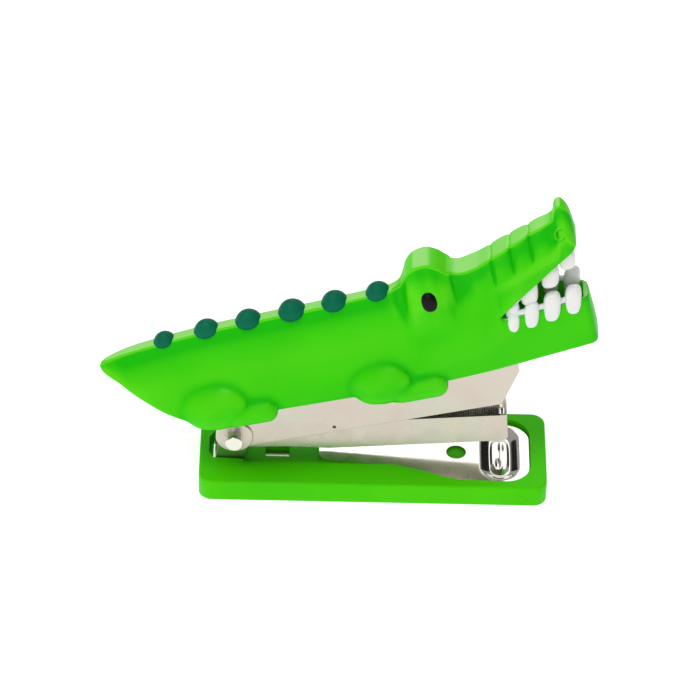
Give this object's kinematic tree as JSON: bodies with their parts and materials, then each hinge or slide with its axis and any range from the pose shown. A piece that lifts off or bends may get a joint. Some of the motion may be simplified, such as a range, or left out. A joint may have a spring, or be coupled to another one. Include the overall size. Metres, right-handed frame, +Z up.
{
  "type": "stapler",
  "caption": "Mini desk stapler: flat base with steel anvil, hinged steel magazine and a handle moulded as an open-mouthed toy crocodile.",
  "frame": {"origin": "centre of the base's underside", "axes": "+X from the hinge to the nose, +Y to the left, +Z up"},
  "size_m": [0.1058, 0.0246, 0.074],
  "materials": {
    "green_plastic": "satin moulded ABS",
    "teal_plastic": "satin moulded ABS",
    "white_plastic": "gloss moulded ABS",
    "black_plastic": "gloss",
    "nickel_steel": "nickel plated, rolled sheet",
    "chrome_plate": "bright nickel plated",
    "spring_steel": "drawn wire and strip",
    "staple_wire": "galvanised wire",
    "black_screw": "black zinc"
  },
  "bodies": {
    "base": {"base_moulding": "green_plastic", "anvil_plate": "chrome_plate", "hinge_bracket": "nickel_steel", "bracket_screws": "black_screw", "pivot_pin": "nickel_steel", "pivot_washers": "nickel_steel", "spacer_bushes": "nickel_steel", "lift_spring": "spring_steel"},
    "magazine": {"magazine_channel": "nickel_steel", "staple_rail": "nickel_steel", "rail_rivets": "nickel_steel", "follower_rod": "nickel_steel", "staple_strip": "staple_wire", "pusher_spring": "spring_steel"},
    "pusher": {"pusher": "nickel_steel"},
    "handle": {"handle_channel": "nickel_steel", "driver_blade": "chrome_plate", "driver_rivet": "nickel_steel", "handle_spring": "spring_steel", "crocodile_shell": "green_plastic", "back_scutes": "teal_plastic", "eyes": "black_plastic", "lower_teeth": "white_plastic", "upper_teeth": "white_plastic", "shell_screws": "black_screw"}
  },
  "joints": [
    {"name": "magazine_hinge", "type": "hinge", "parent": "base", "child": "magazine", "pos_m": [-0.0299, 0, 0.0129], "axis": [0, -1, 0], "range_deg": [-8.5, 0], "stiffness_Nm_per_rad": 1.5, "springref_deg": 2.86, "deforming": ["lift_spring"]},
    {"name": "handle_hinge", "type": "hinge", "parent": "magazine", "child": "handle", "pos_m": [-0.0299, 0, 0.0129], "axis": [0, -1, 0], "range_deg": [-6, 45], "stiffness_Nm_per_rad": 0.5, "springref_deg": 1.15, "deforming": ["handle_spring"]},
    {"name": "pusher_slide", "type": "slide", "parent": "magazine", "child": "pusher", "axis": [0.9963, 0, 0.0854], "range_m": [-0.009, 0], "stiffness_N_per_m": 60, "springref_m": 0.02, "deforming": ["pusher_spring"]}
  ]
}
